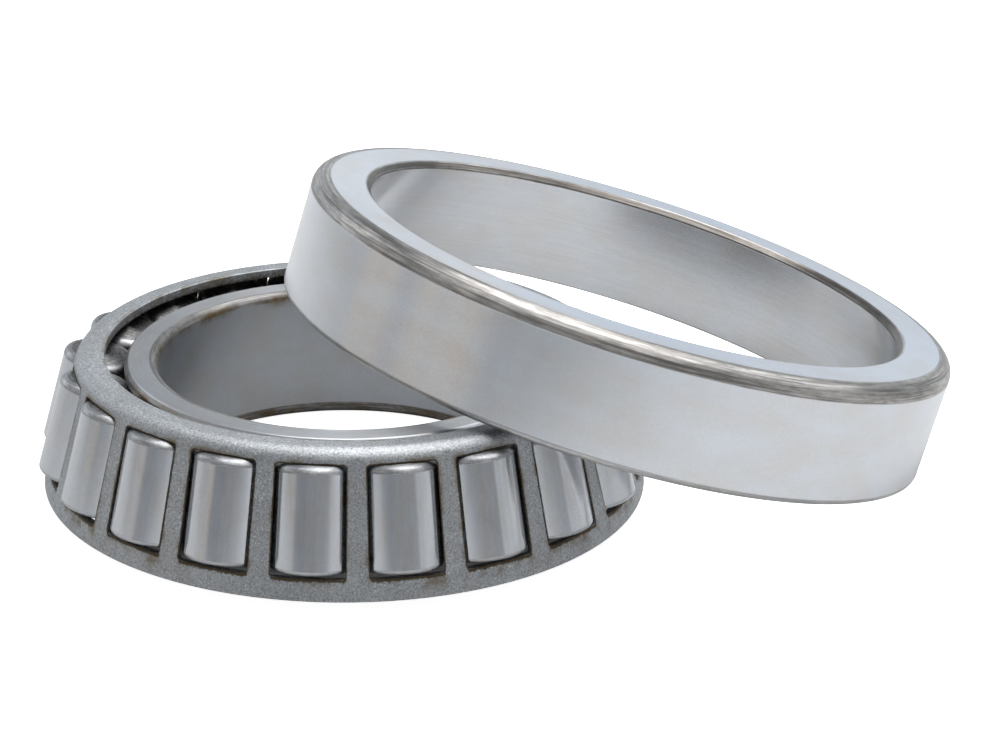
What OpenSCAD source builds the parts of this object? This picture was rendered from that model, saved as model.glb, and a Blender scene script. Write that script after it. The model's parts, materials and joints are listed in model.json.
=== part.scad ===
// Tapered roller bearing, taken apart the way it comes: the inner ring with its cage and rollers
// lies on its back face, and the outer ring leans on it.
// Millimetres. Origin: centre of the inner ring, halfway along its bore. +Z runs up the bore to
// the rollers' small ends, +X points to the side where the outer ring leans down to the floor.
// Heights below are measured from the inner ring's back face, which lies on the floor.

/* [Rings] */
// bore diameter of the inner ring
bore_d = 55; // [54.9:0.05:55.1]
// outside diameter of the outer ring
outer_d = 100; // [99.9:0.05:100.1]
// width over both rings when they are put together
total_width = 22.75; // [22.6:0.05:22.9]
// width of the inner ring
inner_width = 21; // [20.8:0.05:21.1]
// width of the outer ring
outer_width = 18; // [17.8:0.05:18.1]
// angle of the outer raceway to the axis
contact_angle = 15.11; // [14.9:0.01:15.3]
// diameter of the outer raceway's cone in the plane of the outer ring's back face
raceway_small_d = 82; // [81.8:0.05:82.2]
// diameter of the outer ring's bore at its back face, where a chamfer opens the raceway
back_face_bore_d = 84.2; // [84:0.05:84.4]
// depth of that chamfer
bore_chamfer = 0.8; // [0.6:0.1:1]
// corner radius between the inner ring's bore and its back face
inner_back_corner = 2.2; // [1.5:0.1:2.5]
// corner radius between the inner ring's bore and its front face
inner_front_corner = 1.2; // [0.8:0.1:1.6]
// corner radius round the outer ring's back face
outer_back_corner = 2.3; // [1.5:0.1:2.5]
// corner radius round the outer ring's front face
outer_front_corner = 0.8; // [0.5:0.1:1.2]
// outside diameter of the inner ring's large rib
large_rib_d = 76; // [75:0.2:77]
// outside diameter of the inner ring's small rib
small_rib_d = 64.6; // [64.4:0.1:65]
// diameter of the flat front face of the inner ring
front_face_d = 63.4; // [62.6:0.1:63.6]

/* [Rollers] */
// number of rollers
roller_count = 20; // [20:1:20]
// diameter of a roller at the middle of its length
roller_mean_d = 11.2; // [11:0.05:11.3]
// length of a roller
roller_length = 14.75; // [14.6:0.05:14.9]
// height of a roller's centre above the back face
roller_centre_z = 12.4; // [12.3:0.05:12.5]
// radius of the edge at each end of a roller
roller_edge = 1; // [0.7:0.1:1.2]
// diameter of the shallow turned recess in a roller's large end
roller_recess_d = 4.4; // [3.6:0.2:5]
// depth of that recess
roller_recess = 0.4; // [0.3:0.1:0.5]
// angle of the first roller from +X
roller_phase = 12.1; // [0:0.1:18]

/* [Cage] */
// thickness of the cage's sheet
cage_sheet = 1.35; // [1.2:0.05:1.5]
// outside diameter of the cage at its large edge
cage_large_d = 88.9; // [88.4:0.1:89.2]
// height of the cage's large edge above the back face
cage_edge_z = 2.3; // [2:0.1:2.8]
// height of the top of the cage's flange
cage_top_z = 22.3; // [22:0.1:22.6]
// inside diameter of the cage's flange
cage_flange_d = 70.2; // [69:0.2:71]
// outside bend radius between the cage's wall and its flange
cage_bend = 2.5; // [2:0.1:2.8]
// gap between a roller's side and the inner edge of its pocket
pocket_gap = 0.06; // [0.05:0.01:0.1]
// gap between a roller's small end and its pocket
pocket_small_gap = 0.3; // [0.2:0.05:0.35]
// gap between a roller's large end and its pocket
pocket_large_gap = 0.7; // [0.5:0.05:0.8]
// corner radius of a pocket
pocket_corner = 0.5; // [0.3:0.1:0.8]

/* [Leaning outer ring] */
// how far the outer ring's back face is shifted along +X
lean_shift = 45.6; // [45:0.1:46]
// tilt of the outer ring's axis from the vertical
lean_tilt = 16.5; // [16.5:0.05:17]

// node to draw

/* [Hidden] */
$fn = 96;
// sides of the arc that rounds a corner of a profile
corner_sides = 4;

// every raceway and roller cone meets at one apex on the axis
apex_z = total_width + raceway_small_d / 2 / tan(contact_angle);
apex_to_centre = apex_z - roller_centre_z;
taper_first = atan(roller_mean_d / 2 * cos(contact_angle) / apex_to_centre);
roller_taper = atan(roller_mean_d / 2 * cos(contact_angle - taper_first) / apex_to_centre);
roller_angle = contact_angle - roller_taper;
inner_angle = roller_angle - roller_taper;
roller_mid = apex_to_centre / cos(roller_angle);
roller_near = roller_mid - roller_length / 2;
roller_far = roller_mid + roller_length / 2;

// running clearances of the rollers on the inner ring
raceway_gap = 0.03;
rib_gap = 0.09;
small_rib_gap = 0.4;
// the ground relief in each corner of the inner raceway
relief_depth = 0.35;
relief_width = 0.9;
// small edges of the profiles
rib_edge = 0.5;
small_rib_edge = 0.2;
small_rib_shoulder = 0.4;
face_edge = 0.4;
// how far below the front face the small rib starts to slope in
small_rib_slope = 0.8;
sheet_edge = 0.2;
lip = 0.25;
// lifts the outer ring off the floor by less than can be seen
floor_gap = 0.02;

lean_height = floor_gap + outer_front_corner
    + (outer_d / 2 - outer_front_corner) * sin(lean_tilt)
    + (outer_width - outer_front_corner) * cos(lean_tilt);

function unit(v) = v / norm(v);
function short_turn(a) = a > 180 ? a - 360 : a < -180 ? a + 360 : a;
function xy(p) = [p[0], p[1]];

// points of the arc of radius r that rounds the corner b between a and c
function corner_arc(a, b, c, r, sides) =
    r <= 0 ? [b] :
    let (
        u = unit(a - b),
        w = unit(c - b),
        half = acos(u * w) / 2,
        centre = b + unit(u + w) * r / sin(half),
        from = b + u * r / tan(half) - centre,
        to = b + w * r / tan(half) - centre,
        start = atan2(from[1], from[0]),
        sweep = short_turn(atan2(to[1], to[0]) - start)
    )
    [for (k = [0:sides]) centre + r * [cos(start + sweep * k / sides), sin(start + sweep * k / sides)]];

// a profile of [radius, height, corner radius] with its corners rounded
function rounded(pts, sides) =
    let (n = len(pts))
    [for (i = [0:n - 1]) each corner_arc(
        xy(pts[(i + n - 1) % n]), xy(pts[i]), xy(pts[(i + 1) % n]), pts[i][2], sides)];

// a point at a distance s from the apex along the roller's axis and t outwards from that axis
function on_roller(s, t) = [
    s * sin(roller_angle) + t * cos(roller_angle),
    apex_z - s * cos(roller_angle) + t * sin(roller_angle)
];
// height on a line square to the roller's axis, at distance s from the apex, where it has radius r
function square_z(s, r) =
    on_roller(s, 0)[1] + (r - on_roller(s, 0)[0]) * tan(roller_angle);
// radius of the inner raceway at height z
function inner_raceway_r(z) = (apex_z - z) * tan(inner_angle) - raceway_gap;
// height where the inner raceway meets a line square to the roller's axis at distance s
function raceway_end_z(s) =
    let (r0 = on_roller(s, 0)[0], z0 = on_roller(s, 0)[1], k = tan(roller_angle), m = tan(inner_angle))
    (z0 + k * (apex_z * m - raceway_gap - r0)) / (1 + k * m);
function cage_outer_r(z) = cage_large_d / 2 - (z - cage_edge_z) * tan(contact_angle);
// how far outwards from the roller's axis the inside of the cage's sheet lies, at distance s
function sheet_t(s) =
    (cage_outer_r(on_roller(s, 0)[1]) - cage_sheet / cos(contact_angle) - on_roller(s, 0)[0])
    / (cos(roller_angle) + tan(contact_angle) * sin(roller_angle));
// half the width of a straight-walled pocket whose inner edges just clear the roller; the last
// factor allows for the roundness of the sheet across the pocket
function pocket_half(s) =
    sqrt((pow(s * tan(roller_taper), 2) - pow(sheet_t(s), 2))
        / (1 - sheet_t(s) / on_roller(s, sheet_t(s))[0])) + pocket_gap;

// puts a piece whose heights count from the back face in its place round the origin
module seated() {
    translate([0, 0, -inner_width / 2]) children();
}

module ring(profile, sides = corner_sides) {
    rotate_extrude() polygon(rounded(profile, sides));
}

module at_roller(i) {
    rotate([0, 0, roller_phase + (i - 1) * 360 / roller_count])
        translate([0, 0, apex_z])
            rotate([0, -roller_angle, 0])
                children();
}

module inner_ring() {
    bore_r = bore_d / 2;
    rib_r = large_rib_d / 2;
    small_r = small_rib_d / 2;
    face_r = front_face_d / 2;
    rib_s = roller_far + rib_gap;
    small_s = roller_near - small_rib_gap;
    rib_z = raceway_end_z(rib_s);
    small_z = raceway_end_z(small_s);
    color([0.62, 0.63, 0.64])
    seated() ring([
        [bore_r, 0, inner_back_corner],
        [rib_r, 0, rib_edge],
        [rib_r, square_z(rib_s, rib_r), rib_edge],
        [inner_raceway_r(rib_z), rib_z, 0],
        [inner_raceway_r(rib_z + relief_width) - relief_depth, rib_z + relief_width / 2, 0],
        [inner_raceway_r(rib_z + relief_width), rib_z + relief_width, 0],
        [inner_raceway_r(small_z - relief_width), small_z - relief_width, 0],
        [inner_raceway_r(small_z) - relief_depth, small_z - relief_width / 2, 0],
        [inner_raceway_r(small_z), small_z, 0],
        [small_r, square_z(small_s, small_r), small_rib_edge],
        [small_r, inner_width - small_rib_slope, small_rib_shoulder],
        [face_r, inner_width, face_edge],
        [bore_r, inner_width, inner_front_corner]
    ]);
}

module cage() {
    inset = cage_sheet / cos(contact_angle);
    under_z = cage_top_z - cage_sheet;
    color([0.5, 0.5, 0.5])
    seated() difference() {
        ring([
            [cage_outer_r(cage_edge_z), cage_edge_z, sheet_edge],
            [cage_outer_r(cage_top_z), cage_top_z, cage_bend],
            [cage_flange_d / 2, cage_top_z, sheet_edge],
            [cage_flange_d / 2, under_z, 0],
            [cage_outer_r(under_z) - inset, under_z, cage_bend - cage_sheet],
            [cage_outer_r(cage_edge_z) - inset, cage_edge_z, 0]
        ]);
        for (i = [1:roller_count]) at_roller(i) pocket();
    }
}

// the punched opening for one roller, drawn from the roller's axis outwards
module pocket() {
    near = roller_near - pocket_small_gap;
    far = roller_far + pocket_large_gap;
    rotate([90, 0, 90])
        linear_extrude(roller_mean_d)
            polygon(rounded([
                [-pocket_half(far), -far, pocket_corner],
                [pocket_half(far), -far, pocket_corner],
                [pocket_half(near), -near, pocket_corner],
                [-pocket_half(near), -near, pocket_corner]
            ], corner_sides));
}

module roller(i) {
    recess_r = roller_recess_d / 2;
    color([0.72, 0.73, 0.75])
    seated() at_roller(i) ring([
        [0, roller_recess - roller_far, 0],
        [recess_r, roller_recess - roller_far, 0],
        [recess_r, -roller_far, 0],
        [roller_far * tan(roller_taper), -roller_far, roller_edge],
        [roller_near * tan(roller_taper), -roller_near, roller_edge],
        [0, -roller_near, 0]
    ]);
}

module outer_ring() {
    outer_r = outer_d / 2;
    small_r = raceway_small_d / 2 + bore_chamfer * tan(contact_angle);
    large_r = raceway_small_d / 2 + outer_width * tan(contact_angle);
    color([0.68, 0.69, 0.71])
    seated() translate([lean_shift, 0, lean_height])
        rotate([0, lean_tilt, 0])
            ring([
                [outer_r, -outer_width, outer_front_corner],
                [outer_r, 0, outer_back_corner],
                [back_face_bore_d / 2, 0, lip],
                [small_r, -bore_chamfer, lip],
                [large_r, -outer_width, lip]
            ]);
}

inner_ring();
cage();
outer_ring();
roller(1);  // roller_01
roller(2);  // roller_02
roller(3);  // roller_03
roller(4);  // roller_04
roller(5);  // roller_05
roller(6);  // roller_06
roller(7);  // roller_07
roller(8);  // roller_08
roller(9);  // roller_09
roller(10);  // roller_10
roller(11);  // roller_11
roller(12);  // roller_12
roller(13);  // roller_13
roller(14);  // roller_14
roller(15);  // roller_15
roller(16);  // roller_16
roller(17);  // roller_17
roller(18);  // roller_18
roller(19);  // roller_19
roller(20);  // roller_20
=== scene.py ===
"""Looks of the tapered roller bearing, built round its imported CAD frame."""

import json
import math
import random

import bpy
import bmesh
from mathutils import Matrix, Vector


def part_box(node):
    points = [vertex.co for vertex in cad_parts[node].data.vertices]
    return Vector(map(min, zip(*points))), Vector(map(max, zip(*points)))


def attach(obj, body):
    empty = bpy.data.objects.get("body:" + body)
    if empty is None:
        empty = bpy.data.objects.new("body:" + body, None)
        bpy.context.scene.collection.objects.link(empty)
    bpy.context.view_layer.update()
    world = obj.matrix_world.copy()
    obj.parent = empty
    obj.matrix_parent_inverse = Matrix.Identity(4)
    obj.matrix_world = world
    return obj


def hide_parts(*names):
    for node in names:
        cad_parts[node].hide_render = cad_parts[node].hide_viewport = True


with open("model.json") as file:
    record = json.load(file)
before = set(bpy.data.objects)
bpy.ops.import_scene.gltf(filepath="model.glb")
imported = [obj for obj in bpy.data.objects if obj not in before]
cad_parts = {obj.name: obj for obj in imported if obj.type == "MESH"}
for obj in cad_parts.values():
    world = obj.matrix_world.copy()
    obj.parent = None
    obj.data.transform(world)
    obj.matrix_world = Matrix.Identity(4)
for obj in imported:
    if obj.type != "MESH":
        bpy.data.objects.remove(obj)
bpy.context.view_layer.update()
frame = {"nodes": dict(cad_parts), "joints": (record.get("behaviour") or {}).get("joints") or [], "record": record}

# ---------------------------------------------------------------- dimensions
MM = 0.001
JOINTS = {joint["name"]: joint for joint in frame["joints"]}
MOUNTS = {mount["name"]: mount for mount in frame["record"]["mounts"]}
ROLLERS = sorted(name for name in frame["nodes"] if name.startswith("roller_"))

CONTACT_ANGLE = math.radians(15.11)
TOTAL_WIDTH = 22.75 * MM

BACK_FACE_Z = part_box("inner_ring")[0].z
FRONT_FACE_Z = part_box("inner_ring")[1].z
BORE_R = MOUNTS["shaft_bore"]["dims"]["r_mm"] * MM
LARGE_RIB_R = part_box("inner_ring")[1].x
SMALL_RIB_R = 32.3 * MM
FRONT_FACE_R = 31.7 * MM

OUTER_R = MOUNTS["housing_fit"]["dims"]["r_mm"] * MM
OUTER_WIDTH = 18 * MM
RACEWAY_SMALL_R = 41 * MM
BACK_FACE_BORE_R = 42.1 * MM
BORE_CHAMFER = 0.8 * MM
OUTER_BACK_CORNER = 2.3 * MM
OUTER_FRONT_CORNER = 0.8 * MM
# small edges of the raceway's opening at the back face, and at the front face
OPENING_EDGE = 0.2 * MM
FRONT_OPENING_EDGE = 0.25 * MM

ROLLER_PLACE = Vector(JOINTS["roller_01_spin"]["pos_m"])
ROLLER_AXIS = Vector(JOINTS["roller_01_spin"]["axis"])
ROLLER_LENGTH = 14.75 * MM
ROLLER_SMALL_EDGE = 1 * MM
ROLLER_LARGE_EDGE = 0.6 * MM
ROLLER_RECESS = 0.4 * MM
ROLLER_RECESS_R = 2.2 * MM
ROLLER_RECESS_EDGE = 0.15 * MM
ROLLER_ANGLE = math.acos(ROLLER_AXIS.z)
ROLLER_TAPER = CONTACT_ANGLE - ROLLER_ANGLE
INNER_ANGLE = ROLLER_ANGLE - ROLLER_TAPER
# every raceway and roller cone meets at one apex on the bore's axis
APEX_Z = BACK_FACE_Z + TOTAL_WIDTH + RACEWAY_SMALL_R / math.tan(CONTACT_ANGLE)
ROLLER_MID = Vector(ROLLER_PLACE.xy).length / math.sin(ROLLER_ANGLE)
ROLLER_NEAR = ROLLER_MID - ROLLER_LENGTH / 2
ROLLER_FAR = ROLLER_MID + ROLLER_LENGTH / 2
RACEWAY_GAP = 0.03 * MM
# wider than the raceway's gap, because the rib's cone curves up beside the roller's flat end
RIB_GAP = 0.09 * MM
SMALL_RIB_GAP = 0.4 * MM
INNER_BACK_CORNER = 2.2 * MM
INNER_FRONT_CORNER = 1.2 * MM
RIB_EDGE = 0.5 * MM
SMALL_RIB_EDGE = 0.2 * MM
FACE_EDGE = 0.4 * MM
# the small rib slopes in this far below the front face
SMALL_RIB_SLOPE = 0.8 * MM
RELIEF_DEPTH = 0.35 * MM
RELIEF_WIDTH = 0.9 * MM
RELIEF_EDGE = 0.2 * MM

CAGE_SHEET = 1.35 * MM
CAGE_LARGE_R = 44.45 * MM
CAGE_EDGE_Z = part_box("cage")[0].z
CAGE_TOP_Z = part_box("cage")[1].z
CAGE_FLANGE_R = 35.1 * MM
CAGE_BEND = 2.5 * MM
POCKET_GAP = 0.06 * MM
POCKET_SMALL_GAP = 0.3 * MM
POCKET_LARGE_GAP = 0.7 * MM
POCKET_CORNER = 0.5 * MM
# the pocket's long sides are coined to lean in over the roller, and its upper side by a share of that
POCKET_WING = 0.34 * MM
UPPER_WING_SHARE = 0.6


# ---------------------------------------------------------------- mesh helpers
# the finish of a corner fades into that of a face over this width
FINISH_CHANGE = 0.03 * MM
SOFT_FINISH_CHANGE = 0.2 * MM
# a radius below this is a point on the axis
ON_AXIS = 1e-7
# keeps the shading of large flat faces from bending towards the small faces at their edges
FLAT_FACE_WEIGHT = 80


def arc(before, corner, after, radius, steps):
    """Points of the arc that rounds a corner between its two neighbours."""
    corner = Vector(corner)
    u = (Vector(before) - corner).normalized()
    w = (Vector(after) - corner).normalized()
    half = u.angle(w) / 2
    centre = corner + (u + w).normalized() * radius / math.sin(half)
    start = corner + u * radius / math.tan(half) - centre
    end = corner + w * radius / math.tan(half) - centre
    first = math.atan2(start.y, start.x)
    sweep = (math.atan2(end.y, end.x) - first + math.pi) % math.tau - math.pi
    turns = [first + sweep * k / steps for k in range(steps + 1)]
    return [centre + radius * Vector((math.cos(turn), math.sin(turn))) for turn in turns]


def rounded(corners, steps=8, change=FINISH_CHANGE):
    """A closed outline of (radius, height, finish) points.

    A corner is (radius, height, corner radius, its finish, the finish of the face that follows it),
    and a finish fades into the next one over the width given as change.
    """
    arcs = []
    for i, (r, z, radius, _, _) in enumerate(corners):
        before, after = corners[i - 1], corners[(i + 1) % len(corners)]
        arcs.append(arc(before[:2], (r, z), after[:2], radius, steps) if radius else [Vector((r, z))])
    points = []
    for i, (_, _, _, corner_finish, face_finish) in enumerate(corners):
        points += [(p.x, p.y, corner_finish) for p in arcs[i]]
        start, end = arcs[i][-1], arcs[(i + 1) % len(corners)][0]
        step = (end - start).normalized() * change
        points += [(p.x, p.y, face_finish) for p in (start + step, end - step)]
    return points


def lathe(name, outline, sides):
    """A mesh turned round local Z from a closed outline of (radius, height, finish)."""
    mesh = bpy.data.meshes.new(name)
    shape = bmesh.new()
    finish = shape.verts.layers.float.new("finish")
    rows = []
    for r, z, value in outline:
        count = sides if r > ON_AXIS else 1
        row = []
        for k in range(count):
            turn = math.tau * k / sides
            vert = shape.verts.new((r * math.cos(turn), r * math.sin(turn), z))
            vert[finish] = value
            row.append(vert)
        rows.append(row)
    for i, row in enumerate(rows):
        following = rows[(i + 1) % len(rows)]
        if len(row) == 1 and len(following) == 1:
            continue
        for k in range(sides):
            n = (k + 1) % sides
            ring = [row[k % len(row)], row[n % len(row)],
                    following[n % len(following)], following[k % len(following)]]
            shape.faces.new(list(dict.fromkeys(ring)))
    return finished(mesh, shape)


def finished(mesh, shape):
    """Closes a mesh: normals outwards, smooth faces."""
    bmesh.ops.recalc_face_normals(shape, faces=shape.faces)
    for face in shape.faces:
        face.smooth = True
    shape.to_mesh(mesh)
    shape.free()
    return mesh


def piece(name, mesh, material, body, cad_node, place=None):
    """Puts a mesh in the scene as the piece that stands for a CAD node."""
    thing = bpy.data.objects.new(name, mesh)
    bpy.context.scene.collection.objects.link(thing)
    if place is not None:
        thing.matrix_world = place
    thing.data.materials.append(material)
    normals = thing.modifiers.new("flat faces stay flat", "WEIGHTED_NORMAL")
    normals.weight = FLAT_FACE_WEIGHT
    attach(thing, body)
    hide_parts(cad_node)


# ---------------------------------------------------------------- node helpers
# keeps turned_noise from dividing by nothing on the axis
NEAR_AXIS = 0.01 * MM


def node(tree, kind, inputs=None, **settings):
    """A shader node with its settings; an input is a value or the socket linked to it."""
    made = tree.nodes.new(kind)
    for key, value in settings.items():
        setattr(made, key, value)
    for key, value in (inputs or {}).items():
        if isinstance(value, bpy.types.NodeSocket):
            tree.links.new(value, made.inputs[key])
        else:
            made.inputs[key].default_value = value
    return made


def math_node(tree, operation, a, b=0.0):
    return node(tree, "ShaderNodeMath", {0: a, 1: b}, operation=operation).outputs[0]


def vector_node(tree, operation, a, b, output):
    return node(tree, "ShaderNodeVectorMath", {0: a, 1: b}, operation=operation).outputs[output]


def remap(tree, value, low, high, to_low=0.0, to_high=1.0, smooth=False):
    """Carries the range low to high over to the range to_low to to_high, and clamps it there."""
    kind = "SMOOTHSTEP" if smooth else "LINEAR"
    inputs = {"Value": value, "From Min": low, "From Max": high, "To Min": to_low, "To Max": to_high}
    return node(tree, "ShaderNodeMapRange", inputs, interpolation_type=kind).outputs[0]


def blended(tree, share, a, b):
    """Mixes two colours by a share from 0 to 1."""
    inputs = {0: share, 6: a, 7: b}
    return node(tree, "ShaderNodeMix", inputs, data_type="RGBA", clamp_factor=True).outputs[2]


def noise(tree, vector, scale, detail=2.0, rough=0.5, seed=0.0):
    """Noise from 0 to 1 with its mean near a half; another seed gives another pattern."""
    inputs = {"Vector": vector, "W": seed, "Scale": scale, "Detail": detail, "Roughness": rough}
    return node(tree, "ShaderNodeTexNoise", inputs, noise_dimensions="4D").outputs[0]


def object_point(tree):
    return node(tree, "ShaderNodeTexCoord").outputs["Object"]


def turned_noise(tree, around, along, detail=2.0, rough=0.5, seed=0.0):
    """Noise drawn out round the local Z axis: its scales round the axis and along the profile."""
    x, y, z = node(tree, "ShaderNodeSeparateXYZ", {0: object_point(tree)}).outputs
    squares = math_node(tree, "ADD", math_node(tree, "MULTIPLY", x, x), math_node(tree, "MULTIPLY", y, y))
    radius = math_node(tree, "SQRT", squares)
    safe = math_node(tree, "MAXIMUM", radius, NEAR_AXIS)
    point = node(tree, "ShaderNodeCombineXYZ", {
        0: math_node(tree, "MULTIPLY", math_node(tree, "DIVIDE", x, safe), around),
        1: math_node(tree, "MULTIPLY", math_node(tree, "DIVIDE", y, safe), around),
        2: math_node(tree, "MULTIPLY", z, along),
    }).outputs[0]
    profile = math_node(tree, "ADD", math_node(tree, "MULTIPLY", radius, along), seed)
    return noise(tree, point, 1, detail, rough, profile)


def attribute(tree, name):
    """The value that a mesh's vertices carry under this name."""
    return node(tree, "ShaderNodeAttribute", attribute_name=name).outputs["Fac"]


def bump(tree, height, distance, normal=None):
    inputs = {"Height": height, "Strength": 1.0, "Distance": distance}
    if normal is not None:
        inputs["Normal"] = normal
    return node(tree, "ShaderNodeBump", inputs).outputs[0]


def new_material(name):
    """A material with an empty node tree, and that tree."""
    material = bpy.data.materials.new(name)
    material.use_nodes = True
    tree = material.node_tree
    tree.nodes.clear()
    return material, tree


def metal(tree, colour, roughness, normal, anisotropic=0.0):
    """The metal's shader, with its grinding lines running round the local Z axis."""
    shader = node(tree, "ShaderNodeBsdfPrincipled", {
        "Base Color": colour, "Metallic": 1.0, "Roughness": roughness, "Normal": normal,
        "Anisotropic": anisotropic, "Anisotropic Rotation": 0.25 if anisotropic else 0.0,
    })
    if anisotropic:
        tangent = node(tree, "ShaderNodeTangent", direction_type="RADIAL", axis="Z")
        tree.links.new(tangent.outputs[0], shader.inputs["Tangent"])
    output = node(tree, "ShaderNodeOutputMaterial")
    tree.links.new(shader.outputs[0], output.inputs[0])


# ---------------------------------------------------------------- materials
# dark oily dirt with painted shade, laid on where the finish is above 1
OILY_DIRT_AND_SHADE = [0.06, 0.05, 0.04, 1]
BROWN_STAIN = [0.22, 0.145, 0.06, 1]
# the width over which the stain ends towards the bore's corner
STAIN_END = 0.5 * MM
# depths of the steel's grinding lines, and of the ridges and patches in its turned corners
GRINDING_DEPTH = 0.0005 * MM
RIDGE_DEPTH = 0.03 * MM
PATCH_DEPTH = 0.015 * MM

SHEET_DARK = [0.265, 0.278, 0.292, 1]
SHEET_LIGHT = [0.63, 0.652, 0.675, 1]
SHEET_GLINT = [0.95, 0.95, 0.95, 1]
SHEET_CLOUD = [0.29, 0.295, 0.295, 1]
# thin oil and thick grime, both laid on with painted shade by the grime value
THIN_OIL_AND_SHADE = [0.20, 0.165, 0.11, 1]
THICK_GRIME_AND_SHADE = [0.11, 0.085, 0.055, 1]
GRAIN_DEPTH = 0.065 * MM
PIT_DEPTH = 0.03 * MM


def ground_steel(name, colour, dark, roughness, anisotropic, rough_finish, stain=0.0, stain_z=(0.0, 1.0)):
    """Ground bearing steel: fine lines round the axis, and darker turned corners where finish is 1.

    Between 0 and 1 the finish blends the two, and above 1 it adds oily dirt with painted shade, up to a finish of
    2.
    Stain is the strength of brown stains, which grow with the distance from the local XY plane from
    the first height in stain_z to the second and end soon after it.
    """
    material, tree = new_material(name)
    # fine grinding lines, a grain, ridges and patches for the turned corners, and large clouds
    fine = turned_noise(tree, 14, 2800, 3, 0.65)
    grain = noise(tree, object_point(tree), 2900, 2, 0.6, 2.0)
    ridge = turned_noise(tree, 3, 3000, 3, 0.6, 3.0)
    cloud = noise(tree, object_point(tree), 90, 3, 0.55, 5.0)
    patches = turned_noise(tree, 16, 1500, 4, 0.65, 7.0)
    finish = attribute(tree, "finish")
    turned = math_node(tree, "MINIMUM", finish, 1)
    tone = math_node(tree, "MULTIPLY_ADD", fine, 0.20)
    tree.links.new(math_node(tree, "MULTIPLY_ADD", cloud, 0.14), tone.node.inputs[2])
    # the ground faces: lines and grain, with warmer and cooler streaks rubbed round the axis
    duller = [c * 0.91 for c in colour]
    darker = [c * 0.6 for c in colour]
    light = blended(tree, remap(tree, tone, 0.08, 0.28), duller + [1], [*colour, 1])
    light = blended(tree, remap(tree, grain, 0.34, 0.60, 0.34, 0), light, darker + [1])
    rubbed = turned_noise(tree, 5, 240, 3, 0.55, 12.0)
    warm = [c * k for c, k in zip(colour, (0.91, 0.885, 0.86))]
    cool = [c * k for c, k in zip(colour, (0.95, 1.0, 1.06))]
    streaks = blended(tree, remap(tree, rubbed, 0.36, 0.62), warm + [1], cool + [1])
    light = blended(tree, 0.6, light, streaks)
    # the turned corners: bright ridges on a dark ground, and oily dirt with painted shade on the roughest
    worn = remap(tree, patches, 0.36, 0.58, 0.3, 1)
    lines = math_node(tree, "MULTIPLY", remap(tree, ridge, 0.36, 0.62), worn)
    bright = [min(1, c * 3.2) for c in dark]
    band = blended(tree, lines, [*dark, 1], bright + [1])
    skin = blended(tree, turned, light, band)
    # a finish above 1 darkens the skin towards oily dirt and painted shade
    skin = blended(tree, remap(tree, finish, 1, 2, 0, 0.85), skin, OILY_DIRT_AND_SHADE)
    if stain:
        z = node(tree, "ShaderNodeSeparateXYZ", {0: object_point(tree)}).outputs[2]
        height = math_node(tree, "ABSOLUTE", z)
        near = remap(tree, height, stain_z[0], stain_z[1], smooth=True)
        patch = turned_noise(tree, 7, 260, 4, 0.6, 9.0)
        shade = math_node(tree, "MULTIPLY", remap(tree, patch, 0.44, 0.62), near)
        clear = remap(tree, height, stain_z[1], stain_z[1] + STAIN_END, stain, 0)
        skin = blended(tree, math_node(tree, "MULTIPLY", shade, clear), skin, BROWN_STAIN)
    rough = math_node(tree, "MULTIPLY_ADD", turned, rough_finish - roughness)
    uneven = math_node(tree, "ADD", remap(tree, cloud, 0.3, 0.7, -0.03, 0.03), roughness)
    tree.links.new(uneven, rough.node.inputs[2])
    relief = bump(tree, fine, GRINDING_DEPTH)
    relief = bump(tree, math_node(tree, "MULTIPLY", ridge, turned), RIDGE_DEPTH, relief)
    relief = bump(tree, math_node(tree, "MULTIPLY", patches, turned), PATCH_DEPTH, relief)
    metal(tree, skin, rough, relief, anisotropic)
    return material


def tumbled_sheet(name):
    """Tumbled steel sheet: a fine bright grain, with oily grime and painted shade where the grime value is high.
    """
    material, tree = new_material(name)
    point = object_point(tree)
    grain = noise(tree, point, 3700, 3, 0.7)
    pits = noise(tree, point, 2300, 3, 0.65, 4.0)
    cloud = noise(tree, point, 120, 3, 0.5, 8.0)
    soil = noise(tree, point, 260, 4, 0.6, 6.0)
    dirt_and_shade = attribute(tree, "grime_and_shade")
    base = blended(tree, remap(tree, grain, 0.36, 0.66), SHEET_DARK, SHEET_LIGHT)
    base = blended(tree, remap(tree, grain, 0.62, 0.72, 0, 0.8), base, SHEET_GLINT)
    base = blended(tree, remap(tree, cloud, 0.35, 0.7, 0, 0.3), base, SHEET_CLOUD)
    # the grime value carries painted shade as well as grime: it is high on the hidden side of the sheet and at the
    # pockets
    near = remap(tree, dirt_and_shade, 0.0, 0.12, 0.12, 1)
    spread = math_node(tree, "MULTIPLY", remap(tree, soil, 0.46, 0.62, 0, 0.75), near)
    base = blended(tree, spread, base, THIN_OIL_AND_SHADE)
    ragged = math_node(tree, "MULTIPLY_ADD", pits, 0.9)
    tree.links.new(math_node(tree, "SUBTRACT", dirt_and_shade, 0.45), ragged.node.inputs[2])
    # thick grime with painted shade where the grime value and the pits are high
    grime_and_shade_share = remap(tree, ragged, 0.34, 0.66, smooth=True)
    base = blended(tree, grime_and_shade_share, base, THICK_GRIME_AND_SHADE)
    rough = remap(tree, grime_and_shade_share, 0, 1, 0.50, 0.65)
    relief = bump(tree, grain, GRAIN_DEPTH)
    relief = bump(tree, pits, PIT_DEPTH, relief)
    metal(tree, base, rough, relief)
    return material


# ---------------------------------------------------------------- outlines
def on_roller(s, t):
    """Radius and height of a point s from the apex down a roller's axis and t outwards from it."""
    return (s * math.sin(ROLLER_ANGLE) + t * math.cos(ROLLER_ANGLE),
            APEX_Z - s * math.cos(ROLLER_ANGLE) + t * math.sin(ROLLER_ANGLE))


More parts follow.
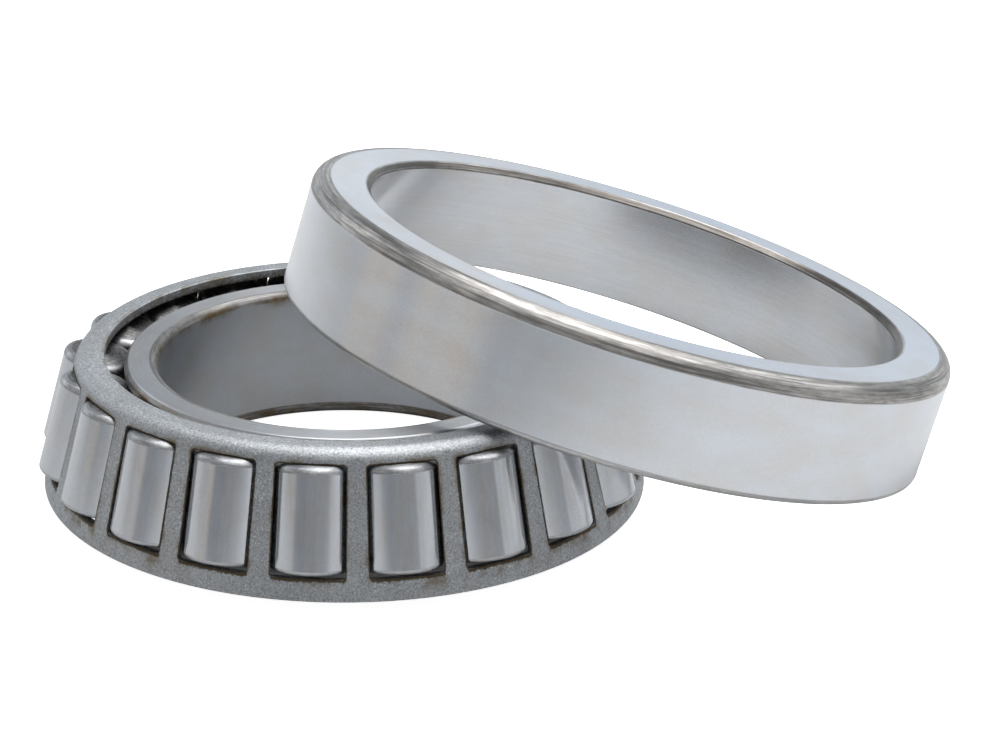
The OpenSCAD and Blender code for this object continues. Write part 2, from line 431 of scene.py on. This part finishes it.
def inner_ring_outline():
    """Bore, back face, large rib, raceway with a relief at each end, small rib and front face."""
    slope = math.tan(INNER_ANGLE)
    lean = math.tan(ROLLER_ANGLE)

    def raceway_r(z):
        return (APEX_Z - z) * slope - RACEWAY_GAP

    def square_z(s, r):
        r0, z0 = on_roller(s, 0)
        return z0 + (r - r0) * lean

    def raceway_end(s):
        r0, z0 = on_roller(s, 0)
        return (z0 + lean * (APEX_Z * slope - RACEWAY_GAP - r0)) / (1 + lean * slope)

    rib_s = ROLLER_FAR + RIB_GAP
    small_s = ROLLER_NEAR - SMALL_RIB_GAP
    rib_z = raceway_end(rib_s)
    small_z = raceway_end(small_s)
    relief_top = rib_z + RELIEF_WIDTH
    small_relief = small_z - RELIEF_WIDTH
    corners = [
        (BORE_R, BACK_FACE_Z, INNER_BACK_CORNER, 1, 0),
        (LARGE_RIB_R, BACK_FACE_Z, RIB_EDGE, 1, 0.6),
        (LARGE_RIB_R, square_z(rib_s, LARGE_RIB_R), RIB_EDGE, 0.6, 0),
        (raceway_r(rib_z), rib_z, 0, 1, 1),
        (raceway_r(relief_top) - RELIEF_DEPTH, rib_z + RELIEF_WIDTH / 2, RELIEF_EDGE, 1, 1),
        (raceway_r(relief_top), relief_top, 0, 0.5, 0),
        (raceway_r(small_relief), small_relief, 0, 0.5, 1),
        (raceway_r(small_z) - RELIEF_DEPTH, small_z - RELIEF_WIDTH / 2, RELIEF_EDGE, 1, 1),
        (raceway_r(small_z), small_z, 0, 0.5, 0.3),
        (SMALL_RIB_R, square_z(small_s, SMALL_RIB_R), SMALL_RIB_EDGE, 0.5, 0.5),
        (SMALL_RIB_R, FRONT_FACE_Z - SMALL_RIB_SLOPE, FACE_EDGE, 0.5, 0.4),
        (FRONT_FACE_R, FRONT_FACE_Z, FACE_EDGE, 0.3, 0.22),
        (BORE_R, FRONT_FACE_Z, INNER_FRONT_CORNER, 0.9, 0),
    ]
    return rounded(corners)


def outer_ring_outline():
    """The outer ring on its own axis: the back face is at 0 and the raceway widens downwards."""
    slope = math.tan(CONTACT_ANGLE)
    corners = [
        (OUTER_R, -OUTER_WIDTH, OUTER_FRONT_CORNER, 0.7, 0),
        (OUTER_R, 0, OUTER_BACK_CORNER, 1, 0),
        # the bore's chamfer at the back face has a finish above 1: oily dirt with painted shade that dims its
        # reflection
        (BACK_FACE_BORE_R, 0, OPENING_EDGE, 0.9, 1.85),
        (RACEWAY_SMALL_R + BORE_CHAMFER * slope, -BORE_CHAMFER, OPENING_EDGE, 1.65, 0.14),
        (RACEWAY_SMALL_R + OUTER_WIDTH * slope, -OUTER_WIDTH, FRONT_OPENING_EDGE, 0.6, 0),
    ]
    return rounded(corners, 16, SOFT_FINISH_CHANGE)


def roller_outline():
    """The roller on its own axis: the origin is its centre and +Z points to its small end."""
    half = ROLLER_LENGTH / 2
    slope = math.tan(ROLLER_TAPER)
    corners = [
        (0, ROLLER_RECESS - half, 0, 1, 1),
        (ROLLER_RECESS_R, ROLLER_RECESS - half, ROLLER_RECESS_EDGE, 1, 1),
        (ROLLER_RECESS_R, -half, ROLLER_RECESS_EDGE, 1, 0.4),
        (ROLLER_FAR * slope, -half, ROLLER_LARGE_EDGE, 0.3, 0),
        # the small end's face has a finish above 1: oily dirt with painted shade, for the gap between the cage's
        # flange and the inner ring
        (ROLLER_NEAR * slope, half, ROLLER_SMALL_EDGE, 0.68, 1.25),
        (0, half, 0, 1.25, 1.25),
    ]
    return rounded(corners)[:-2]


# ---------------------------------------------------------------- cage
TOP_COLUMNS = 14
SIDE_ROWS = 16
CORNER_STEPS = 4
WALL_RINGS = 7
SHOULDER_STEPS = 10
# the panels with the pockets reach up to these angles on the shoulder's arcs
PANEL_TOP_OUTSIDE = math.radians(38)
PANEL_TOP_INSIDE = math.radians(54)
PITCH = math.tau / len(ROLLERS)
# the punched edge's rounding outside, its small edge inside, and how far it is torn
PUNCH_EDGE = 0.06 * MM
PUNCH_STEPS = 3
INNER_EDGE = 0.03 * MM
JAG = 0.05 * MM
# the panels' rings crowd towards the pocket by this power
RING_CROWDING = 1.6
# how far grime with painted shade spreads from a pocket, and from its lower edge, where the painted shade falls
# below the roller
GRIME_AND_SHADE_REACH = 0.16 * MM
GRIME_AND_SHADE_REACH_BELOW = 0.5 * MM
# the panels end this far above the cage's large edge, outside and inside
FOOT_OUTSIDE = 0.35 * MM
FOOT_INSIDE = 0.25 * MM
# edges of the flange's rim above and below, and of the cage's large edge outside and inside
RIM_EDGE = 0.22 * MM
UNDER_RIM_EDGE = 0.15 * MM
FOOT_EDGE = 0.2 * MM
FOOT_INNER_EDGE = 0.12 * MM
# grime on the flange's rim, and grime with painted shade on the hidden side of the sheet
RIM_GRIME = 0.28
UNDER_RIM_GRIME_AND_SHADE = 0.5
SHOULDER_INSIDE_GRIME_AND_SHADE = 0.6
WALL_INSIDE_GRIME_AND_SHADE = 0.55
UNDER_FOOT_GRIME_AND_SHADE = 0.4
FOOT_INSIDE_GRIME_AND_SHADE = 0.5
# grime with painted shade in a pocket: it falls by this much with each step over the punched edge, then stays low
EDGE_GRIME_AND_SHADE_STEP = 0.2
POCKET_GRIME_AND_SHADE = 0.2
POCKET_INSIDE_GRIME_AND_SHADE = 0.35
# vertices of neighbouring panels closer than this are one
MERGE_DISTANCE = 0.002 * MM


def cone_r(z, depth):
    """Radius of the cage's conical wall at height z, at a depth under its outer surface."""
    return CAGE_LARGE_R - (z - CAGE_EDGE_Z) * math.tan(CONTACT_ANGLE) - depth / math.cos(CONTACT_ANGLE)


# the shoulder's two arcs share one centre
SHOULDER_Z = CAGE_TOP_Z - CAGE_BEND
SHOULDER_R = cone_r(SHOULDER_Z, CAGE_BEND)


def wall_r(z, depth):
    """Radius of the wall and of the shoulder that bends in from its top."""
    bend = CAGE_BEND - depth
    rise = z - SHOULDER_Z
    if rise <= bend * math.sin(CONTACT_ANGLE):
        return cone_r(z, depth)
    return SHOULDER_R + math.sqrt(max(0, bend ** 2 - rise ** 2))


def on_wall(y, s, depth):
    """Angle and height where the line square to the roller's plane at (y, s) meets the wall."""
    z = on_roller(s, 0)[1]
    # each pass comes closer to the meeting point
    for _ in range(8):
        x = math.sqrt(wall_r(z, depth) ** 2 - y * y)
        t = (x - s * math.sin(ROLLER_ANGLE)) / math.cos(ROLLER_ANGLE)
        z = on_roller(s, t)[1]
    return math.atan2(y, x), z


def pocket_half(s):
    """Half the width of a straight-walled pocket whose inner edges just clear the roller."""
    r0, z0 = on_roller(s, 0)
    t = (wall_r(z0, CAGE_SHEET) - r0) / (
        math.cos(ROLLER_ANGLE) + math.tan(CONTACT_ANGLE) * math.sin(ROLLER_ANGLE))
    chord = (s * math.tan(ROLLER_TAPER)) ** 2 - t * t
    return math.sqrt(chord / (1 - t / on_roller(s, t)[0])) + POCKET_GAP


def pocket_outline(grow, wing):
    """Points (y, s) round one pocket, grown outwards and narrowed; they start at its top left corner."""
    near = ROLLER_NEAR - POCKET_SMALL_GAP - grow + wing * UPPER_WING_SHARE
    far = ROLLER_FAR + POCKET_LARGE_GAP + grow
    top, low = pocket_half(near) + grow - wing, pocket_half(far) + grow - wing
    corners = [(-top, near), (top, near), (low, far), (-low, far)]
    arcs = [arc(corners[i - 1], corners[i], corners[(i + 1) % 4], POCKET_CORNER + grow, CORNER_STEPS)
            for i in range(4)]
    half = CORNER_STEPS // 2
    points = []
    for i, count in enumerate((TOP_COLUMNS, SIDE_ROWS, TOP_COLUMNS, SIDE_ROWS)):
        straight = count - CORNER_STEPS
        start, end = arcs[i][-1], arcs[(i + 1) % 4][0]
        points += arcs[i][half:]
        points += [start.lerp(end, k / straight) for k in range(1, straight)]
        points += arcs[(i + 1) % 4][:half]
    return points


def panel_border(top_z, low_z):
    """Points (angle, height) round one pitch of the wall, matching pocket_outline point by point."""
    left, right = -PITCH / 2, PITCH / 2
    corners = [(left, top_z), (right, top_z), (right, low_z), (left, low_z)]
    points = []
    for i, count in enumerate((TOP_COLUMNS, SIDE_ROWS, TOP_COLUMNS, SIDE_ROWS)):
        start, end = Vector(corners[i]), Vector(corners[(i + 1) % 4])
        points += [start.lerp(end, k / count) for k in range(count)]
    return points


def shoulder_arc(radius, start, dirt_and_shade):
    """Points (radius, height, grime with painted shade) of one of the shoulder's arcs, from an angle up to its
    top.
    """
    turns = [start + (math.pi / 2 - start) * k / SHOULDER_STEPS for k in range(SHOULDER_STEPS + 1)]
    return [(SHOULDER_R + radius * math.cos(a), SHOULDER_Z + radius * math.sin(a), dirt_and_shade) for a in turns]


def cage_mesh():
    """The stamped cage: a conical wall with punched pockets, a rolled shoulder and a flange."""
    mesh = bpy.data.meshes.new("cage")
    shape = bmesh.new()
    grime_and_shade = shape.verts.layers.float.new("grime_and_shade")
    chance = random.Random(11)

    def vert(angle, radius, z, dirt_and_shade):
        made = shape.verts.new((radius * math.cos(angle), radius * math.sin(angle), z))
        made[grime_and_shade] = dirt_and_shade
        return made

    def strip(first, second, closed):
        count = len(first)
        for k in range(count if closed else count - 1):
            n = (k + 1) % count
            shape.faces.new([first[k], first[n], second[n], second[k]])

    inside = CAGE_BEND - CAGE_SHEET
    top_out = SHOULDER_Z + CAGE_BEND * math.sin(PANEL_TOP_OUTSIDE)
    top_in = SHOULDER_Z + inside * math.sin(PANEL_TOP_INSIDE)
    low_out = CAGE_EDGE_Z + FOOT_OUTSIDE
    low_in = CAGE_EDGE_Z + FOOT_INSIDE

    # outline of the shoulder and flange, from the outer wall over the top and back under it
    over = shoulder_arc(CAGE_BEND, PANEL_TOP_OUTSIDE, 0)
    under_z = CAGE_TOP_Z - CAGE_SHEET
    lip = [(SHOULDER_R, CAGE_TOP_Z), (CAGE_FLANGE_R, CAGE_TOP_Z),
           (CAGE_FLANGE_R, under_z), (SHOULDER_R, under_z)]
    upper = [(p.x, p.y, RIM_GRIME) for p in arc(lip[0], lip[1], lip[2], RIM_EDGE, 4)]
    # under the rim and inside the shoulder: grime with painted shade
    lower = [(p.x, p.y, UNDER_RIM_GRIME_AND_SHADE) for p in arc(lip[1], lip[2], lip[3], UNDER_RIM_EDGE, 3)]
    flat = [(SHOULDER_R + (CAGE_FLANGE_R - SHOULDER_R) * k / 4, CAGE_TOP_Z, 0) for k in range(1, 4)]
    beneath = [(CAGE_FLANGE_R + (SHOULDER_R - CAGE_FLANGE_R) * k / 3, under_z, SHOULDER_INSIDE_GRIME_AND_SHADE)
               for k in range(1, 3)]
    back = shoulder_arc(inside, PANEL_TOP_INSIDE, SHOULDER_INSIDE_GRIME_AND_SHADE)[::-1]
    head = over + flat + upper + lower + beneath + back
    # outline of the large edge, from the outer wall to the inner wall
    edge = [(wall_r(low_out, 0), low_out), (wall_r(CAGE_EDGE_Z, 0), CAGE_EDGE_Z),
            (wall_r(CAGE_EDGE_Z, CAGE_SHEET), CAGE_EDGE_Z), (wall_r(low_in, CAGE_SHEET), low_in)]
    foot = [(*edge[0], 0)]
    foot += [(p.x, p.y, 0) for p in arc(edge[0], edge[1], edge[2], FOOT_EDGE, 4)]
    # under the large edge and up its inside: grime with painted shade
    foot += [(p.x, p.y, UNDER_FOOT_GRIME_AND_SHADE) for p in arc(edge[1], edge[2], edge[3], FOOT_INNER_EDGE, 3)]
    foot += [(*edge[3], FOOT_INSIDE_GRIME_AND_SHADE)]

    columns = [-PITCH / 2 + PITCH * k / TOP_COLUMNS for k in range(TOP_COLUMNS + 1)]
    outer_border = panel_border(top_out, low_out)
    inner_border = panel_border(top_in, low_in)
    first_turn = math.atan2(ROLLER_PLACE.y, ROLLER_PLACE.x)
    for i in range(len(ROLLERS)):
        turn = first_turn + i * PITCH
        for outline in (head, foot):
            rows = [[vert(turn + a, r, z, dirt_and_shade) for a in columns] for r, z, dirt_and_shade in outline]
            for row, following in zip(rows, rows[1:]):
                strip(row, following, False)
        rough = [chance.random() * JAG for _ in outer_border]
        # the punched edge, from the outer surface over its rounding and down the pocket's wall
        rings = []
        for k in range(PUNCH_STEPS + 1):
            a = math.pi / 2 * k / PUNCH_STEPS
            grow, depth = PUNCH_EDGE * (1 - math.sin(a)), PUNCH_EDGE * (1 - math.cos(a))
            # the punched edge carries grime with painted shade, darkest at the outer surface
            rings.append((grow, POCKET_WING, depth, 1.0 - k / PUNCH_STEPS, 1.0 - EDGE_GRIME_AND_SHADE_STEP * k))
        rings.append((0, POCKET_WING / 2, CAGE_SHEET / 2, 0, POCKET_GRIME_AND_SHADE))
        rings.append((0, 0, CAGE_SHEET - INNER_EDGE, 0, POCKET_GRIME_AND_SHADE))
        rings.append((INNER_EDGE, 0, CAGE_SHEET, 0, POCKET_INSIDE_GRIME_AND_SHADE))
        loops = []
        for grow, wing, depth, jag, dirt_and_shade in rings:
            loop = []
            for (y, s), r in zip(pocket_outline(grow, wing), rough):
                out = Vector((y, s - ROLLER_MID)).normalized() * r * jag
                angle, z = on_wall(y + out.x, s + out.y, depth)
                loop.append(vert(turn + angle, wall_r(z, depth), z, dirt_and_shade))
            loops.append(loop)
        for loop, following in zip(loops, loops[1:]):
            strip(loop, following, True)
        # the outer panels fade to clean sheet, the inner ones to no less than grime with painted shade
        for loop, border, depth, floor in (
            (loops[0], outer_border, 0, 0.0), (loops[-1], inner_border, CAGE_SHEET, WALL_INSIDE_GRIME_AND_SHADE)
        ):
            previous = loop
            for ring in range(1, WALL_RINGS + 1):
                share = (ring / WALL_RINGS) ** RING_CROWDING
                current = []
                for k, (v, (angle, z)) in enumerate(zip(loop, border)):
                    below = TOP_COLUMNS + SIDE_ROWS <= k < 2 * TOP_COLUMNS + SIDE_ROWS
                    here = math.atan2(v.co.y, v.co.x) - turn
                    here = (here + math.pi) % math.tau - math.pi
                    a, h = here + (angle - here) * share, v.co.z + (z - v.co.z) * share
                    reach = math.hypot((a - here) * wall_r(h, depth), h - v.co.z)
                    # grime with painted shade fades with the distance from the pocket, more slowly below it
                    dirt_and_shade = max(floor, math.exp(-reach / (GRIME_AND_SHADE_REACH_BELOW if below else GRIME_AND_SHADE_REACH)))
                    current.append(vert(turn + a, wall_r(h, depth), h, dirt_and_shade))
                strip(previous, current, True)
                previous = current
    bmesh.ops.remove_doubles(shape, verts=shape.verts, dist=MERGE_DISTANCE)
    return finished(mesh, shape)


# ---------------------------------------------------------------- pieces
INNER_RING_SIDES = 320
OUTER_RING_SIDES = 384
ROLLER_SIDES = 72
# radians by which each roller is turned on its axis after the one before, so that no two look alike
ROLLER_TURN = 2.4

race_steel = ground_steel(
    "inner ring steel", colour=(0.57, 0.58, 0.593), dark=(0.16, 0.153, 0.146), roughness=0.36,
    anisotropic=0.6, rough_finish=0.55, stain=0.9, stain_z=(7.8 * MM, 9.8 * MM))
cup_steel = ground_steel(
    "outer ring steel", colour=(0.805, 0.815, 0.83), dark=(0.195, 0.187, 0.179), roughness=0.19,
    anisotropic=0.8, rough_finish=0.36)
roller_steel = ground_steel(
    "roller steel", colour=(0.62, 0.63, 0.645), dark=(0.16, 0.16, 0.16), roughness=0.16,
    anisotropic=0.75, rough_finish=0.55)
sheet_steel = tumbled_sheet("cage sheet")

inner_mesh = lathe("inner_ring", inner_ring_outline(), INNER_RING_SIDES)
piece("inner_ring_steel", inner_mesh, race_steel, "inner_ring", "inner_ring")

back_face = MOUNTS["outer_back_face"]
lean_axis = Vector(back_face["axis"])
pin = MOUNTS["housing_fit"]
along_axis = (Vector(back_face["pos_m"]) - Vector(pin["pos_m"])).dot(lean_axis)
outer_place = Matrix.Translation(Vector(pin["pos_m"]) + lean_axis * along_axis)
outer_place = outer_place @ Vector((0, 0, 1)).rotation_difference(lean_axis).to_matrix().to_4x4()
outer_mesh = lathe("outer_ring", outer_ring_outline(), OUTER_RING_SIDES)
piece("outer_ring_steel", outer_mesh, cup_steel, "outer_ring", "outer_ring", outer_place)

piece("cage_sheet", cage_mesh(), sheet_steel, "cage", "cage")

roller_mesh = lathe("roller", roller_outline(), ROLLER_SIDES)
for i, name in enumerate(ROLLERS):
    joint = JOINTS[name + "_spin"]
    turn = Vector((0, 0, 1)).rotation_difference(Vector(joint["axis"])).to_matrix().to_4x4()
    place = Matrix.Translation(joint["pos_m"]) @ turn @ Matrix.Rotation(ROLLER_TURN * i, 4, "Z")
    piece(name + "_steel", roller_mesh.copy(), roller_steel, name, name, place)


# ---------------------------------------------------------------- floor, light and camera
CAMERA_AZIMUTH = math.radians(17.02)
CAMERA_DISTANCE = 403.3 * MM
CAMERA_HEIGHT = 179.2 * MM
CAMERA_PITCH = math.radians(21.82)
CAMERA_PAN = math.radians(2.99)
# millimetres, as Blender's cameras count them
CAMERA_SENSOR = 36
CAMERA_LENS = 106.17

# metres
FLOOR_SIZE = 6
FLOOR_COLOUR = (0.62, 0.62, 0.62, 1)
# light that the floor adds only where the camera sees it
FLOOR_GLOW = 0.95
WALL_LIGHT = 0.9
PLAIN_WALL = [1.08, 1.08, 1.08, 1]
# the walls change from their low to their high colours between these heights of the direction
LOW_WALLS_END = 0.21
HIGH_WALLS_START = 0.37


def floor_material():
    """Pale card. What is seen straight on is whiter than what the steel mirrors, as on a lit table."""
    material, tree = new_material("pale floor")
    card = node(tree, "ShaderNodeBsdfDiffuse", {"Color": FLOOR_COLOUR})
    seen = node(tree, "ShaderNodeLightPath").outputs["Is Camera Ray"]
    glow = node(tree, "ShaderNodeEmission", {"Strength": math_node(tree, "MULTIPLY", seen, FLOOR_GLOW)})
    both = node(tree, "ShaderNodeAddShader", {0: card.outputs[0], 1: glow.outputs[0]})
    output = node(tree, "ShaderNodeOutputMaterial")
    tree.links.new(both.outputs[0], output.inputs[0])
    return material


def make_floor(size):
    """A square of card under the inner ring's back face."""
    mesh = bpy.data.meshes.new("floor")
    half = size / 2
    corners = [(-half, -half), (half, -half), (half, half), (-half, half)]
    mesh.from_pydata([(x, y, BACK_FACE_Z) for x, y in corners], [], [(0, 1, 2, 3)])
    thing = bpy.data.objects.new("floor", mesh)
    thing.data.materials.append(floor_material())
    bpy.context.scene.collection.objects.link(thing)


def area_light(name, azimuth, elevation, distance, size, radiance, colour):
    """A softbox aimed at the origin. Azimuth 0 is behind the camera, and 90 is to its right."""
    turn = math.radians(azimuth) - CAMERA_AZIMUTH
    rise = math.radians(elevation)
    away = Vector((math.sin(turn) * math.cos(rise), -math.cos(turn) * math.cos(rise), math.sin(rise)))
    light = bpy.data.lights.new(name, "AREA")
    light.shape = "RECTANGLE"
    light.size, light.size_y = size
    light.energy = radiance * math.pi * size[0] * size[1]
    light.color = colour
    thing = bpy.data.objects.new(name, light)
    thing.location = away * distance
    thing.rotation_euler = away.to_track_quat("Z", "Y").to_euler()
    bpy.context.scene.collection.objects.link(thing)


def ramp(tree, value, stops):
    """A colour that changes along a value from 0 to 1."""
    made = node(tree, "ShaderNodeValToRGB", {0: value})
    points = made.color_ramp.elements
    while len(points) < len(stops):
        points.new(1)
    for point, (place, colour) in zip(points, stops):
        point.position = place
        point.color = (*colour, 1)
    return made.outputs[0]


def studio_walls():
    """The room that the steel mirrors: white behind the bearing, grey behind the camera, panels between."""
    world = bpy.data.worlds.new("studio")
    bpy.context.scene.world = world
    world.use_nodes = True
    tree = world.node_tree
    tree.nodes.clear()
    way = node(tree, "ShaderNodeTexCoord").outputs["Generated"]
    toward = (-math.sin(CAMERA_AZIMUTH), -math.cos(CAMERA_AZIMUTH), 0)
    right = (math.cos(CAMERA_AZIMUTH), -math.sin(CAMERA_AZIMUTH), 0)
    ahead = vector_node(tree, "DOT_PRODUCT", way, toward, "Value")
    aside = vector_node(tree, "DOT_PRODUCT", way, right, "Value")
    # 0 behind the camera and positive to its right
    angle = math_node(tree, "ARCTAN2", aside, ahead)
    share = remap(tree, angle, -math.pi, math.pi)

    def at(degrees, level, tint):
        """A stop of a ramp round the room: its angle, its brightness and its tint."""
        return (degrees + 180) / 360, [level * t for t in tint]

    cool, warm, white = (0.94, 1.0, 1.06), (1.05, 1.0, 0.94), (0.98, 1.0, 1.02)
    low = ramp(tree, share, [
        at(-180, 0.98, cool), at(-132, 1.06, cool), at(-118, 0.62, white),
        at(-92, 0.66, warm), at(-86, 0.56, white), at(-64, 0.68, warm),
        at(-52, 0.56, warm), at(-47, 0.38, cool), at(-36, 0.34, cool),
        at(0, 0.37, white), at(34, 0.39, cool), at(48, 0.40, white),
        at(54, 0.72, cool), at(78, 0.74, cool), at(84, 0.36, white),
        at(104, 0.30, warm), at(128, 0.84, cool), at(180, 0.98, cool),
    ])
    high = ramp(tree, share, [
        at(-180, 0.52, cool), at(-110, 0.60, cool), at(-40, 0.42, white),
        at(30, 0.38, white), at(110, 0.60, cool), at(180, 0.52, cool),
    ])
    height = node(tree, "ShaderNodeSeparateXYZ", {0: way}).outputs[2]
    walls = blended(tree, remap(tree, height, LOW_WALLS_END, HIGH_WALLS_START, smooth=True), low, high)
    circle = node(tree, "ShaderNodeCombineXYZ", {
        0: math_node(tree, "COSINE", angle), 1: math_node(tree, "SINE", angle)}).outputs[0]
    stripes = noise(tree, circle, 7, 3, 0.6)
    tint = blended(tree, remap(tree, stripes, 0.36, 0.64), [1.12, 1.03, 0.93, 1], [0.82, 0.88, 0.97, 1])
    walls = vector_node(tree, "MULTIPLY", walls, tint, "Vector")
    # a low view that looks past the floor's edge sees a plain wall
    seen = node(tree, "ShaderNodeLightPath").outputs["Is Camera Ray"]
    walls = blended(tree, seen, walls, PLAIN_WALL)
    sky = node(tree, "ShaderNodeBackground", {"Color": walls, "Strength": WALL_LIGHT})
    output = node(tree, "ShaderNodeOutputWorld")
    tree.links.new(sky.outputs[0], output.inputs[0])


make_floor(FLOOR_SIZE)
area_light("top softbox", azimuth=122, elevation=77, distance=0.55,
           size=(0.55, 0.42), radiance=4.0, colour=(1.0, 1.0, 1.0))
area_light("right softbox", azimuth=112, elevation=38, distance=0.8,
           size=(0.4, 0.4), radiance=2.2, colour=(0.97, 0.99, 1.0))
area_light("left softbox", azimuth=-128, elevation=32, distance=0.8,
           size=(0.35, 0.4), radiance=1.1, colour=(0.97, 0.99, 1.0))
studio_walls()

lens = bpy.data.cameras.new("camera")
lens.sensor_width = CAMERA_SENSOR
lens.lens = CAMERA_LENS
camera = bpy.data.objects.new("camera", lens)
camera.location = (-CAMERA_DISTANCE * math.sin(CAMERA_AZIMUTH),
                   -CAMERA_DISTANCE * math.cos(CAMERA_AZIMUTH), BACK_FACE_Z + CAMERA_HEIGHT)
aim = Matrix.Rotation(-CAMERA_AZIMUTH, 3, "Z") @ Matrix.Rotation(math.pi / 2 - CAMERA_PITCH, 3, "X")
camera.rotation_euler = (aim @ Matrix.Rotation(-CAMERA_PAN, 3, "Y")).to_euler()
bpy.context.scene.collection.objects.link(camera)
bpy.context.scene.camera = camera
bpy.context.scene.view_settings.view_transform = "Standard"
